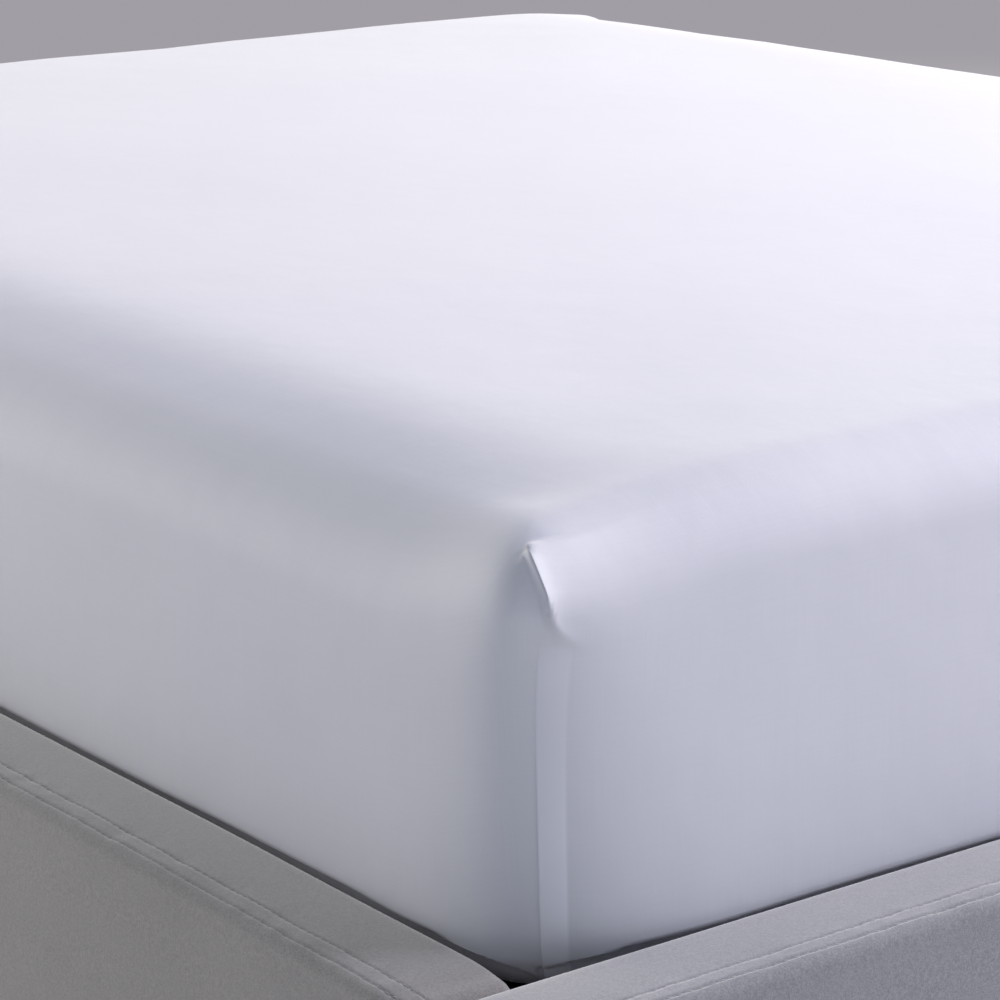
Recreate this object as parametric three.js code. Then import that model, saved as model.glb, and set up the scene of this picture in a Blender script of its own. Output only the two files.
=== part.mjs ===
// A fitted mattress protector stretched over a deep mattress that lies in an upholstered bed frame.
//
// Millimetres, +Z up. The origin is on the floor under the middle of the bed. +Y runs along the bed,
// with the foot end at -Y. The protector is one sheet whose four corners are sewn as darts: each seam
// drops from a small pinched ear at the top corner, and its allowance lies folded beside it.

import * as THREE from "three";

// ---------------------------------------------------------------- driving dimensions

const mattress = { width: 1600, length: 2000, height: 307.4 };
const cloth = { thick: 1.5, ease: 0.5, underTurn: 70 };
const seat = 0.3; // what rests on, or butts against, its neighbour stands this far off it
const rail = { height: 320, thick: 80, clearance: 6 };
const railRounding = { outerTop: 10, innerTop: 6, foot: 4, end: 12 };
const deck = { top: 280, thick: 20 };
const batten = { thick: 30, height: 40, length: 1900 };
const beam = { width: 60, height: 60 };
const leg = { size: 50, spacing: 650 };

// The outer face of the stretched cloth.
const skin = {
  halfWidth: mattress.width / 2 + cloth.ease + cloth.thick,
  halfLength: mattress.length / 2 + cloth.ease + cloth.thick,
  bottom: deck.top + seat,
  top: deck.top + seat + 2 * (cloth.ease + cloth.thick) + mattress.height,
};

// How the top edge rolls over: radii on the long and short sides and at the corners.
const roll = { long: 55, short: 54, corner: 48, blend: 60 };
// How far the top has fallen at the long and short sides, within reach of them. The pinched corners
// hold a share of it up.
const fall = { long: 34, short: 4, reach: 82, hold: 0.9, holdAcross: 165, holdAlong: 98 };
const dip = { depth: 6, reach: 200 }; // the corners lie a little lower than the sides' middles
// The sides draw in towards the top: how far, and how quickly that fades with depth.
const draw = { long: 3.4, short: 9, depth: 90, blend: 60, fadeFrom: 50, fadeTo: 400 };
// The rounding of the plan at the corners, towards the long and the short side: on the top, at the end
// of the rolled edge, at the bottom, and over what share of the side it spreads.
const plan = { bottom: 82, fadeFrom: 120, fadeTo: 400, least: 12 };
const planLong = { top: 10, rim: 17, spread: 1.2 };
const planShort = { top: 19, rim: 36, spread: 0.3 };
const bottomTurn = 32;
// Places beside a corner are measured along the sides as if it were square. The seam runs a little way
// round on the short side, nearer the corner towards the bottom, with its folded allowance beyond it.
const seam = { top: 15.7, bottom: 4.4, allowance: 23.5, proud: 0.6, fadeFrom: 12, fadeTo: 40 };
// The ear's ridge runs from its tip on the corner to the head of the seam, then drifts round the short
// side and dies out. Places are distances below the end of the rolled edge.
const ear = { tip: -31, head: -9, end: 30, drift: 46, rise: 9, fan: 0.22, lift: 9, cliff: 1.6, soft: 12 };
// It slopes away on its right, steeply at first and then for the given share more gently.
const earSlope = { steep: 9, gentle: 40, share: 0.4 };
// The ear pulls the cloth round it out too, most along the short side.
const pull = { lift: 3, long: 160, short: 85, above: 100, below: 50 };

// Where the grid lines of the cloth lie, measured along it from the end of the rolled edge inwards.
// They crowd at the seam and at the end of its allowance, and lean near the corner to follow the ear.
const bandEnd = seam.top + seam.allowance;
const lines = [0, 6, seam.top, seam.top + 1, 24, bandEnd - 1, bandEnd, 50, 70, 95, 125, 165, 240, 400];
const leanReach = 110;
const leanFade = 50;
// The rows of the skirt: 0 to 1 down the side, 1 to 2 round the bottom edge, 2 to 3 underneath.
const sideRows = [0.05, 0.11, 0.18, 0.28, 0.45, 0.7, 1];
const turnRows = [1.33, 1.67, 2];
const underRows = [2.5, 3];

// ---------------------------------------------------------------- small helpers

const QUARTER = Math.PI / 2;
const { smoothstep, clamp, lerp } = THREE.MathUtils;
const bell = (x) => Math.exp(-x * x);

// Two triangles, split along the diagonal from a to c, or along the other one when flipped.
function quad(a, b, c, d, flipped = false) {
  const along = [
    [a, b, c],
    [a, c, d],
  ];
  const other = [
    [a, b, d],
    [b, c, d],
  ];
  return flipped ? other : along;
}

function geometryOf(points, triangles) {
  const geometry = new THREE.BufferGeometry();
  const flat = points.flatMap((p) => [p.x, p.y, p.z]);
  geometry.setAttribute("position", new THREE.Float32BufferAttribute(flat, 3));
  geometry.setIndex(triangles.flat());
  return geometry;
}

// ---------------------------------------------------------------- the stretched cloth's shape

// The flat half sizes of the top panel: a rolled edge takes less cloth than a square one would.
const rollSaving = QUARTER - 1;
const flatHalf = {
  x: skin.halfWidth + rollSaving * roll.long,
  y: skin.halfLength + rollSaving * roll.short,
};

const rollRadius = (onLong, s) => lerp(onLong ? roll.long : roll.short, roll.corner, bell(s / roll.blend));

// How far the top lies below its middle at u from the long side's plane and w from the short side's.
function topFall(u, w) {
  const edges = fall.long * bell(u / fall.reach) + fall.short * bell(w / fall.reach);
  const held = fall.hold * bell(u / fall.holdAcross) * bell(w / fall.holdAlong);
  return edges * (1 - held) + dip.depth * bell(Math.hypot(u, w) / dip.reach);
}

// How far in from its widest the cloth stands, at a depth below the top.
function drawnIn(onLong, s, depth) {
  const share = 0.5 + 0.5 * Math.tanh((onLong ? s : -s) / draw.blend);
  return lerp(draw.short, draw.long, share) * Math.exp(-depth / draw.depth);
}

// How far a plan corner rounded over about r lies in from its side's line, k from the corner.
const roundedIn = (k, r) => (r / 2) * Math.log1p(Math.exp((-2 * k) / r));

// A point of one ring of the cloth near one corner, with the direction that faces out there, both as
// distances u from the long side's plane and w from the short side's. e is the ring's inset, rounding
// about its rounding towards the long and the short side, s the way along it from the corner, and
// middle the same at the side's middle.
function ringPoint(onLong, s, middle, e, [toLong, toShort]) {
  const half = onLong ? skin.halfLength : skin.halfWidth;
  const k = s * ((half - e) / Math.max(middle, 1));
  const side = onLong ? toLong : toShort;
  const depth = e + roundedIn(k, side);
  const along = e + k + roundedIn(k, onLong ? toShort : toLong);
  const toCorner = 1 / (1 + Math.exp((2 * k) / side));
  const length = Math.hypot(1 - toCorner, toCorner);
  const outSide = -(1 - toCorner) / length;
  const outAlong = -toCorner / length;
  return onLong
    ? { u: depth, w: along, outU: outSide, outW: outAlong }
    : { u: along, w: depth, outU: outAlong, outW: outSide };
}

// How far round the short side the ear's ridge lies, g below the end of the rolled edge.
function earRidge(g) {
  const down = clamp((g - ear.tip) / (ear.head - ear.tip), 0, 1);
  const past = clamp((g - ear.head) / (ear.end - ear.head), 0, 1);
  return seam.top * down + ear.drift * past ** 2;
}

// How far the ear and its pull lift the cloth, s round the short side from the corner.
function earLift(s, g) {
  const q = s - earRidge(g);
  const edge = ear.tip - ear.fan * Math.max(q, 0);
  const dying = smoothstep(g, ear.head, ear.end);
  const height = ear.lift * smoothstep(g, edge - ear.rise, edge) * (1 - dying);
  const left = lerp(ear.cliff, ear.soft, dying ** 2);
  const right = lerp(Math.exp(-q / earSlope.steep), Math.exp(-q / earSlope.gentle), earSlope.share);
  const pinch = height * (q < 0 ? bell(q / left) : right);
  const pulled = pull.lift * bell(g / (g < 0 ? pull.above : pull.below));
  return pinch + pulled * (s < 0 ? bell(s / pull.long) : Math.exp(-s / pull.short));
}

// How far the folded allowance stands out, on the grid line at d.
function allowanceLift(d, g) {
  const inside = d > seam.top && d < bandEnd;
  return inside ? seam.proud * smoothstep(g, seam.fadeFrom, seam.fadeTo) : 0;
}

// 1 between the seam and the end of its allowance, falling to 0 on both sides.
const nearCorner = (d) => clamp(Math.min(d / seam.top, 1 - (d - bandEnd) / (leanReach - bandEnd)), 0, 1);

// dx moved so that the line at the seam runs up the seam, and then up the ear's ridge to its tip.
function leaned(dx, dy) {
  const ridge = seam.top * clamp((-dy - ear.tip) / (ear.head - ear.tip), 0, 1);
  const pastTip = Math.max(0, dy + ear.tip);
  const shift = (ridge + Math.min(dy, -ear.tip) - seam.top) * (1 - smoothstep(pastTip, 0, leanFade));
  return dx + shift * nearCorner(dx);
}

// s moved so that the seam nears the corner towards the bottom of the short side.
const drawnSeam = (s, row) => s + (seam.bottom - seam.top) * Math.min(row, 1) * nearCorner(s);

// A point of the top panel or its roll, at the flat distances lineX and dy from the end of the roll.
function topPoint(lineX, dy, detailed) {
  const dx = leaned(lineX, dy);
  const onLong = dx < dy;
  const d = Math.min(dx, dy);
  const s = Math.abs(dx - dy);
  const r = rollRadius(onLong, s);
  const turn = Math.min(d / r, QUARTER);
  const base = d < QUARTER * r ? r * (1 - Math.cos(turn)) : d - rollSaving * r;
  const depth = r * (1 - Math.sin(turn));
  const e = base + drawnIn(onLong, s, depth) * (1 - smoothstep(base, draw.fadeFrom, draw.fadeTo));
  const share = Math.max(1 - smoothstep(e, plan.fadeFrom, plan.fadeTo), 0.001);
  const rounding = [planLong, planShort].map(({ top, rim }) => share * lerp(top, rim, 1 - Math.sin(turn)));
  const middle = (onLong ? flatHalf.y : flatHalf.x) - d;
  const p = ringPoint(onLong, s, middle, e, rounding);
  const band = lineX > dy ? allowanceLift(lineX, -d) : 0;
  const lift = detailed ? earLift(dx - dy, -d) + band : 0;
  const out = lift * Math.cos(turn);
  const z = skin.top - topFall(p.u, p.w) - depth + lift * Math.sin(turn);
  return { u: p.u + p.outU * out, w: p.w + p.outW * out, z };
}

// A point of the skirt, on one of its rows and the grid line at d beside the corner.
function skirtPoint(onLong, d, row, detailed) {
  const s = onLong ? d : drawnSeam(d, row);
  const middle = onLong ? flatHalf.y : flatHalf.x;
  const r = rollRadius(onLong, s);
  const rim = ringPoint(onLong, s, middle, drawnIn(onLong, s, r), [planLong.rim, planShort.rim]);
  const start = skin.top - topFall(rim.u, rim.w) - r;
  const t = Math.min(row, 1);
  const turn = clamp(row - 1, 0, 1) * QUARTER;
  const under = Math.max(0, row - 2) * cloth.underTurn;
  const straight = (start - skin.bottom - bottomTurn) * t;
  const tuck = bottomTurn * (1 - Math.cos(turn)) + under;
  const rounding = [planLong, planShort].map(({ rim, spread }) => {
    const share = (1 - Math.exp(-t / spread)) / (1 - Math.exp(-1 / spread));
    return Math.max(lerp(rim, plan.bottom, share) - 0.75 * tuck, plan.least);
  });
  const p = ringPoint(onLong, s, middle, drawnIn(onLong, s, r + straight) + tuck, rounding);
  const lift = detailed && row <= 1 ? earLift(onLong ? -s : s, straight) : 0;
  const proud = lift + (detailed && row <= 1 && !onLong ? allowanceLift(d, straight) : 0);
  const z = start - straight - bottomTurn * Math.sin(turn);
  return { u: p.u + p.outU * proud, w: p.w + p.outW * proud, z };
}

// One face of the cloth: the top panel's grid, then closed loops down the skirt. It returns the points,
// the triangles that face out, and the numbers of the last loop's points.
function clothFace(rows, detailed) {
  const across = (half) => [
    ...lines.map((d) => ({ d, sign: -1 })),
    { d: half, sign: 1 },
    ...lines.toReversed().map((d) => ({ d, sign: 1 })),
  ];
  const columns = across(flatHalf.x);
  const ranks = across(flatHalf.y);
  const points = [];
  const triangles = [];
  const put = (column, rank, p) => {
    const x = column.sign * (skin.halfWidth - p.u);
    const y = rank.sign * (skin.halfLength - p.w);
    return points.push(new THREE.Vector3(x, y, p.z)) - 1;
  };

  const grid = columns.map((c) => ranks.map((k) => put(c, k, topPoint(c.d, k.d, detailed))));
  const nx = columns.length - 1;
  const ny = ranks.length - 1;
  // The cells of two opposite quarters are split the other way, so that all four corners are alike.
  const flipped = (i, j) => i < nx / 2 !== j < ny / 2;
  for (let i = 0; i < nx; i++) {
    for (let j = 0; j < ny; j++) {
      const cell = [grid[i][j], grid[i + 1][j], grid[i + 1][j + 1], grid[i][j + 1]];
      triangles.push(...quad(...cell, flipped(i, j)));
    }
  }

  // Once round the edge of the top, counter-clockwise seen from above.
  const edge = [];
  for (let i = 0; i < nx; i++) edge.push({ i, j: 0, flip: flipped(i, 0) });
  for (let j = 0; j < ny; j++) edge.push({ i: nx, j, flip: flipped(nx, j) });
  for (let i = nx; i > 0; i--) edge.push({ i, j: ny, flip: flipped(i - 1, ny) });
  for (let j = ny; j > 0; j--) edge.push({ i: 0, j, flip: flipped(0, j - 1) });
  let loop = edge.map(({ i, j }) => grid[i][j]);
  for (const row of rows) {
    const next = edge.map(({ i, j }) => {
      const column = columns[i];
      const rank = ranks[j];
      const onLong = column.d === 0 && rank.d > 0;
      return put(column, rank, skirtPoint(onLong, Math.max(column.d, rank.d), row, detailed));
    });
    edge.forEach(({ flip }, n) => {
      const m = (n + 1) % loop.length;
      triangles.push(...quad(loop[n], next[n], next[m], loop[m], flip));
    });
    loop = next;
  }
  return { points, triangles, loop };
}

// The points of a face moved inwards along its own normals.
function inset({ points, triangles }, distance) {
  const normals = points.map(() => new THREE.Vector3());
  for (const [a, b, c] of triangles) {
    const ab = points[b].clone().sub(points[a]);
    const ac = points[c].clone().sub(points[a]);
    const facing = ab.cross(ac);
    for (const v of [a, b, c]) normals[v].add(facing);
  }
  return points.map((p, i) => p.clone().addScaledVector(normals[i].normalize(), -distance));
}

// The protector: the outer face, the same face one thickness inside it, and the hem between them.
function protectorGeometry() {
  const face = clothFace([...sideRows, ...turnRows, ...underRows], true);
  const count = face.points.length;
  const points = [...face.points, ...inset(face, cloth.thick)];
  const inner = face.triangles.map(([a, b, c]) => [a + count, c + count, b + count]);
  const hem = face.loop.flatMap((a, n) => {
    const b = face.loop[(n + 1) % face.loop.length];
    return quad(b, a, a + count, b + count);
  });
  return geometryOf(points, [...face.triangles, ...inner, ...hem]);
}

// The mattress fills the cloth, without its ears and seams, and is flat underneath.
function mattressGeometry() {
  const face = clothFace([...sideRows, ...turnRows], false);
  const points = inset(face, cloth.thick + cloth.ease);
  const bottom = skin.bottom + cloth.thick + cloth.ease;
  for (const v of face.loop) points[v].z = bottom;
  const middle = points.push(new THREE.Vector3(0, 0, bottom)) - 1;
  const underside = face.loop.map((a, n) => [a, middle, face.loop[(n + 1) % face.loop.length]]);
  return geometryOf(points, [...face.triangles, ...underside]);
}

// ---------------------------------------------------------------- the bed frame

// A rail's section, counter-clockwise from its lower left: x across, y up, the outer face at the left.
// shrink draws in its sides and its top.
function railSection(shrink) {
  const half = rail.thick / 2 - shrink;
  const corners = [
    { x: -half, y: 0, r: railRounding.foot, toRight: 1, toTop: 1 },
    { x: half, y: 0, r: railRounding.foot, toRight: -1, toTop: 1 },
    { x: half, y: rail.height - shrink, r: railRounding.innerTop, toRight: -1, toTop: -1 },
    { x: -half, y: rail.height - shrink, r: railRounding.outerTop, toRight: 1, toTop: -1 },
  ];
  const steps = 4;
  return corners.flatMap(({ x, y, r, toRight, toTop }, n) =>
    Array.from({ length: steps + 1 }, (_, i) => {
      const angle = Math.PI + (n + i / steps) * QUARTER;
      return { x: x + r * (toRight + Math.cos(angle)), y: y + r * (toTop + Math.sin(angle)) };
    }),
  );
}

// A padded rail along Y with softly rounded ends, standing on the floor.
function railGeometry(length) {
  const steps = 4;
  const round = railRounding.end;
  const start = Array.from({ length: steps + 1 }, (_, i) => {
    const angle = (i / steps) * QUARTER;
    return { y: round * (1 - Math.cos(angle)) - length / 2, shrink: round * (1 - Math.sin(angle)) };
  });
  const stations = [...start, ...start.toReversed().map(({ y, shrink }) => ({ y: -y, shrink }))];
  const points = [];
  const loops = stations.map(({ y, shrink }) =>
    railSection(shrink).map((p) => points.push(new THREE.Vector3(p.x, y, p.y)) - 1),
  );
  const triangles = [];
  loops.slice(1).forEach((next, n) => {
    const loop = loops[n];
    loop.forEach((a, i) => {
      const j = (i + 1) % loop.length;
      triangles.push(...quad(a, next[i], next[j], loop[j]));
    });
  });
  const [first, last] = [loops[0], loops.at(-1)];
  for (let i = 1; i < first.length - 1; i++) {
    triangles.push([first[0], first[i], first[i + 1]]);
    triangles.push([last[0], last[i + 1], last[i]]);
  }
  return geometryOf(points, triangles);
}

// ---------------------------------------------------------------- materials

const clothFinish = { color: 0xf1f2f8, roughness: 0.75, metalness: 0 };
const tickingFinish = { color: 0xe6e4de, roughness: 0.9, metalness: 0 };
const feltFinish = { color: 0x9a999d, roughness: 0.95, metalness: 0 };
const boardFinish = { color: 0x2c211a, roughness: 0.7, metalness: 0 };

const bed = new THREE.Group();

function place(name, geometry, finish, x, y, z, turn = 0) {
  const mesh = new THREE.Mesh(geometry, new THREE.MeshStandardMaterial(finish));
  mesh.name = name;
  mesh.position.set(x, y, z);
  mesh.rotation.z = turn;
  bed.add(mesh);
}

// ---------------------------------------------------------------- the bed, piece by piece

place("protector", protectorGeometry(), clothFinish, 0, 0, 0);
place("mattress", mattressGeometry(), tickingFinish, 0, 0, 0);

// The inside of the frame, half across and half along. The side rails butt between the other two.
const inside = { x: skin.halfWidth + rail.clearance, y: skin.halfLength + rail.clearance };
const railX = inside.x + rail.thick / 2;
const railY = inside.y + rail.thick / 2;
const sideRailLength = 2 * (inside.y - seat);
const endRailLength = 2 * (inside.x + rail.thick);
place("rail_left", railGeometry(sideRailLength), feltFinish, -railX, 0, 0);
place("rail_right", railGeometry(sideRailLength), feltFinish, railX, 0, 0, Math.PI);
place("rail_foot", railGeometry(endRailLength), feltFinish, 0, -railY, 0, QUARTER);
place("rail_head", railGeometry(endRailLength), feltFinish, 0, railY, 0, -QUARTER);

// Two boards carry the mattress. They lie on a batten along each side rail and on a beam between.
const boardWidth = 2 * (inside.x - seat);
const boardLength = inside.y - 1.5 * seat;
const boardZ = deck.top - deck.thick / 2;
for (const [name, end] of [
  ["deck_foot", -1],
  ["deck_head", 1],
]) {
  const board = new THREE.BoxGeometry(boardWidth, boardLength, deck.thick);
  place(name, board, boardFinish, 0, (end * (boardLength + seat)) / 2, boardZ);
}

const under = deck.top - deck.thick - seat;
const battenX = inside.x - seat - batten.thick / 2;
for (const [name, way] of [
  ["batten_left", -1],
  ["batten_right", 1],
]) {
  const strip = new THREE.BoxGeometry(batten.thick, batten.length, batten.height);
  place(name, strip, boardFinish, way * battenX, 0, under - batten.height / 2);
}

const beamBody = new THREE.BoxGeometry(beam.width, sideRailLength, beam.height);
place("centre_beam", beamBody, boardFinish, 0, 0, under - beam.height / 2);
const legHeight = under - beam.height - seat;
[-1, 0, 1].forEach((step, n) => {
  const post = new THREE.BoxGeometry(leg.size, leg.size, legHeight);
  place(`beam_leg_${n + 1}`, post, boardFinish, 0, step * leg.spacing, legHeight / 2);
});

export default bed;
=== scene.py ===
"""The looks of a fitted mattress protector, stretched over a mattress in an upholstered bed frame.

Everything is in metres, +Z up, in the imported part's own frame. +Y runs along the bed, with the foot end
at -Y. Every size comes from the frame's boxes or is named below.
"""

import math

import bpy
import numpy as np
from mathutils import Matrix, Vector


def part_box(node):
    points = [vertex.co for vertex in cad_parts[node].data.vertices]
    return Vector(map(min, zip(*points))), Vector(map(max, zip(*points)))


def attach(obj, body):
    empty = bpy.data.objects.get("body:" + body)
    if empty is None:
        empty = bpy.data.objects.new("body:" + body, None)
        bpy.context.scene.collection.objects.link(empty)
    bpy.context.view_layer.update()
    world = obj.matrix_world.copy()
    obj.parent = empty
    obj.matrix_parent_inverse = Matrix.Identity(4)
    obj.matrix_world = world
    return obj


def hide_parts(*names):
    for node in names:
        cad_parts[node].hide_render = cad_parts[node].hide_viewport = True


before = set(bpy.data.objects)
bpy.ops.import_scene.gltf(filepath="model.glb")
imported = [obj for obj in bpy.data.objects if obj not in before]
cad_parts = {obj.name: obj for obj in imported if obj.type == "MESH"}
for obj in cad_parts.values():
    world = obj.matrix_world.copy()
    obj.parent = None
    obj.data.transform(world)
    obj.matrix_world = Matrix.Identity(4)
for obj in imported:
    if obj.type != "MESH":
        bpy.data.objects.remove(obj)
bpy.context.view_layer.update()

MM = 0.001
QUARTER = math.pi / 2

# ---------------------------------------------------------------- sizes read from the frame

cloth_low, cloth_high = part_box("protector")
mattress_low, mattress_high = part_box("mattress")

# The sides still draw in a little at the bottom, so their planes lie just outside the widest cloth.
HALF_WIDTH = cloth_high.x + 0.2 * MM
HALF_LENGTH = HALF_WIDTH + 200 * MM
CLOTH_TOP = cloth_high.z
CLOTH_BOTTOM = cloth_low.z
MATTRESS_INSET = cloth_high.x - mattress_high.x

# ---------------------------------------------------------------- the stretched cloth, as sizes

# The rolled top edge: its radius on the long and short sides, and at the corners.
ROLL_LONG = 55 * MM
ROLL_SHORT = 54 * MM
ROLL_CORNER = 48 * MM
ROLL_BLEND = 60 * MM
# How far the top has fallen at the long and short sides, and how far in from them it falls. The
# pinched corners hold it up.
FALL_LONG = 34 * MM
FALL_SHORT = 4 * MM
FALL_REACH = 82 * MM
CORNER_HOLD = 0.9
CORNER_REACH_X = 165 * MM
CORNER_REACH_Y = 98 * MM
CORNER_DIP = 6 * MM
CORNER_DIP_REACH = 200 * MM
# The sides draw in towards the top.
DRAW_LONG = 3.4 * MM
DRAW_SHORT = 9 * MM
DRAW_DEPTH = 90 * MM
DRAW_BLEND = 60 * MM
DRAW_FADE = (50 * MM, 400 * MM)
# The rounding of the plan at the corners, towards the long and the short side: on the top, at the end
# of the rolled edge, at the bottom, and over what share of the side it spreads.
PLAN_TOP = (19 * MM, 22 * MM)
PLAN_RIM = (17 * MM, 36 * MM)
PLAN_BOTTOM = 82 * MM
PLAN_SPREAD = (1.2, 0.3)
PLAN_FADE = (120 * MM, 400 * MM)
PLAN_LEAST = 12 * MM
# The rounding tightens by this share of how far the cloth has turned in under the mattress.
PLAN_TIGHTENING = 0.75
# The skirt.
BOTTOM_TURN = 32 * MM
UNDER_TURN = 70 * MM
# The cloth steps in as it goes down behind the rails, and lower where it stands further from them.
TUCK_IN = 9 * MM
TUCK_DROP = 1.3 * MM
TUCK_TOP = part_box("rail_right")[1].z - 4.5 * MM
TUCK_SLANT = (0.6, 0.4)  # on the long and the short sides
# At the corners it steps in less.
TUCK_CORNER = 0.75
TUCK_CORNER_REACH = 60 * MM
# Beside the corners it also curls in just above the rails, furthest along the short sides.
CURL_IN = 3.2 * MM
CURL_REACH = (35 * MM, 130 * MM)
CURL_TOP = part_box("rail_right")[1].z + 22 * MM
CURL_DROP = 30 * MM
CURL_LIMIT = 1.3
# Places beside a corner are measured along the sides as if it were square. The corner seam stands a
# little way round on the short side, nearer the corner towards the bottom, with its folded allowance
# beside it. The allowance shows faintly near the ear, and stands out where the cloth is taut lower down:
# its ridge stands prouder there, and its cloth is painted whiter, partly as doubled cloth and partly
# as painted light that lifts the shade lower down.
SEAM_TOP = 15.7 * MM
SEAM_BOTTOM = 4.4 * MM
ALLOWANCE = 23.5 * MM
ALLOWANCE_PROUD = 0.3 * MM
ALLOWANCE_RIDGE = 1.3 * MM
ALLOWANCE_FADE = (12 * MM, 40 * MM)
ALLOWANCE_TAUT = (50 * MM, 170 * MM)
ALLOWANCE_FAINT = 0.35
SEAM_GROOVE = 0.05 * MM
# The ear is a pinch of cloth. Its ridge runs from a tip on the corner to the head of the seam, then
# drifts round the short side and dies out. Places are distances below the end of the rolled edge. Its
# left side is a cliff, softer at its tip and its end, and its right side slopes away, steeply at first
# and then for a share of it more gently.
EAR_TIP = -31 * MM
SEAM_HEAD = -9 * MM
EAR_END = 27 * MM
EAR_DRIFT = 40 * MM
EAR_RISE = 9 * MM
EAR_FAN = 0.22
EAR_LIFT = 8.5 * MM
EAR_CLIFF = 0.8 * MM
EAR_SOFT = 16 * MM
EAR_TIP_SIDE = 2.5 * MM
EAR_TIP_SOFT = 1.2 * MM
EAR_TIP_REACH = (-1 * MM, 5 * MM)
EAR_SLOPE = 9 * MM
EAR_SPREAD = 40 * MM
EAR_SPREAD_SHARE = 0.4
# The ear pulls the cloth round it out too, most along the short side.
PULL_LIFT = 6 * MM
PULL_LONG = 160 * MM
PULL_SHORT = 85 * MM
PULL_ABOVE = 100 * MM
PULL_BELOW = 50 * MM

CLOTH_THICK = 1.2 * MM
ROLL_SAVING = QUARTER - 1
FLAT_HALF_X = HALF_WIDTH + ROLL_SAVING * ROLL_LONG
FLAT_HALF_Y = HALF_LENGTH + ROLL_SAVING * ROLL_SHORT


# ---------------------------------------------------------------- small helpers


def bell(x):
    return np.exp(-x * x)


def smoothstep(x, low, high):
    t = np.clip((x - low) / (high - low), 0, 1)
    return t * t * (3 - 2 * t)


def lerp(a, b, t):
    return a + (b - a) * t


def growing(start, end, step, ratio):
    """Positions past start, up to end, whose steps grow by ratio."""
    steps = [step]
    while sum(steps) < end - start:
        steps.append(steps[-1] * ratio)
    return list(start + np.cumsum(steps) * (end - start) / sum(steps))


def new_object(name, points, faces, material):
    mesh = bpy.data.meshes.new(name)
    mesh.from_pydata(np.asarray(points, float).tolist(), [], [[int(v) for v in f] for f in faces])
    mesh.materials.append(material)
    mesh.shade_smooth()
    mesh.update()
    thing = bpy.data.objects.new(name, mesh)
    bpy.context.scene.collection.objects.link(thing)
    return thing


def vertex_normals(points, quads):
    """Area-weighted normals of a mesh of quads."""
    a, b, c, d = (points[quads[:, k]] for k in range(4))
    facing = np.cross(c - a, d - b)
    normals = np.zeros_like(points)
    for k in range(4):
        np.add.at(normals, quads[:, k], facing)
    return normals / np.maximum(np.linalg.norm(normals, axis=1), 1e-12)[:, None]


# ---------------------------------------------------------------- the stretched cloth's shape


def roll_radius(on_long, s):
    away = np.where(on_long, ROLL_LONG, ROLL_SHORT)
    return lerp(away, ROLL_CORNER, bell(s / ROLL_BLEND))


def top_fall(u, w):
    """How far the top lies below its middle at u from the long side's plane and w from the short's."""
    fall = FALL_LONG * bell(u / FALL_REACH) + FALL_SHORT * bell(w / FALL_REACH)
    held = bell(u / CORNER_REACH_X) * bell(w / CORNER_REACH_Y)
    return fall * (1 - CORNER_HOLD * held) + CORNER_DIP * bell(np.hypot(u, w) / CORNER_DIP_REACH)


def drawn_in(on_long, s, depth):
    """How far in from its widest the cloth stands, at a depth below the top."""
    share = 0.5 + 0.5 * np.tanh(np.where(on_long, s, -s) / DRAW_BLEND)
    return lerp(DRAW_SHORT, DRAW_LONG, share) * np.exp(-depth / DRAW_DEPTH)


def rounding_at(k, r):
    """How far a plan corner rounded over about r lies in from its side's line, k from the corner."""
    return r / 2 * np.log1p(np.exp(-2 * k / r))


def ring(on_long, s, middle, e, r_long, r_short):
    """u and w at s along one ring round the plan, with inset e and its corner rounded over about
    r_long towards the long side and r_short towards the short."""
    half = np.where(on_long, HALF_LENGTH, HALF_WIDTH)
    k = s * ((half - e) / middle)
    depth = e + rounding_at(k, np.where(on_long, r_long, r_short))
    along = e + k + rounding_at(k, np.where(on_long, r_short, r_long))
    return np.where(on_long, depth, along), np.where(on_long, along, depth)


def top_points(dx, dy):
    """u, w, z of the top panel and its roll, at the flat distances dx and dy from the roll's end."""
    on_long = dx < dy
    d = np.minimum(dx, dy)
    s = np.abs(dx - dy)
    r = roll_radius(on_long, s)
    turn = np.minimum(d / r, QUARTER)
    e = np.where(d < QUARTER * r, r * (1 - np.cos(turn)), d - ROLL_SAVING * r)
    depth = r * (1 - np.sin(turn))
    e = e + drawn_in(on_long, s, depth) * (1 - smoothstep(e, *DRAW_FADE))
    top_share = np.maximum(1 - smoothstep(e, *PLAN_FADE), 0.001)
    rounding = [top_share * lerp(top, rim, 1 - np.sin(turn)) for top, rim in zip(PLAN_TOP, PLAN_RIM)]
    middle = np.where(on_long, FLAT_HALF_Y, FLAT_HALF_X) - d
    u, w = ring(on_long, s, np.maximum(middle, MM), e, *rounding)
    return u, w, CLOTH_TOP - top_fall(u, w) - depth


def plan_rounding(t, rim, spread):
    """The plan's rounding at the share t down the side."""
    return lerp(rim, PLAN_BOTTOM, (1 - math.exp(-t / spread)) / (1 - math.exp(-1 / spread)))


def tucked(z, top):
    """How far in the cloth steps just under top, where it goes down behind the rails."""
    return TUCK_IN * (1 - smoothstep(z, top - TUCK_DROP, top))


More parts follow.
